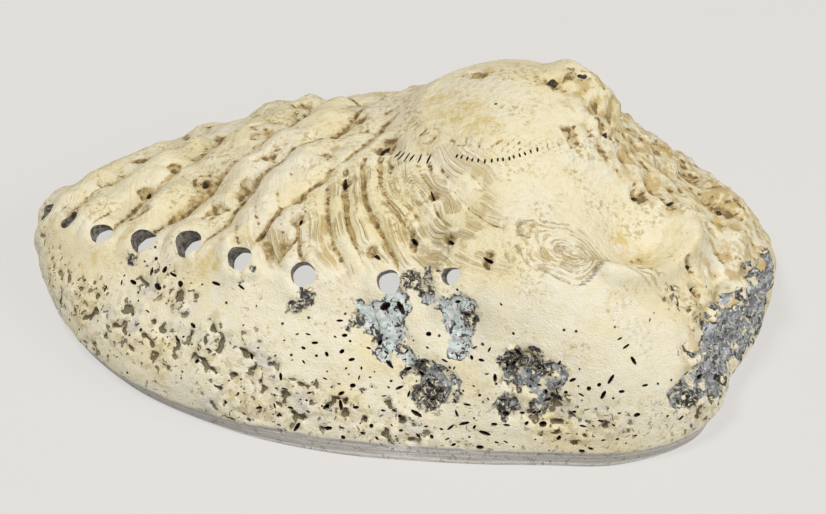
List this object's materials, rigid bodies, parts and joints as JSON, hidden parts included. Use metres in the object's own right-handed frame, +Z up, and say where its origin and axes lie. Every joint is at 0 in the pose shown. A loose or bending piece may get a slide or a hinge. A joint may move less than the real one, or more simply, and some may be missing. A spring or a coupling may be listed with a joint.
{
  "type": "abalone shell",
  "caption": "Worn ear-shaped abalone shell with knobby growth folds, a curved row of breathing holes, worn scars and a pearly bowl, lying mouth down on its rim.",
  "frame": {"origin": "middle of the shell's footprint, in the plane that the rim rests on", "axes": "+Z up, through the back of the shell; +X along the shell towards the spire; the row of holes faces -Y"},
  "size_m": [0.1686, 0.1172, 0.0529],
  "materials": {
    "shell": "worn matt chalky shell outside, satin mother of pearl inside"
  },
  "bodies": {
    "root": {"shell": "shell"}
  },
  "joints": []
}
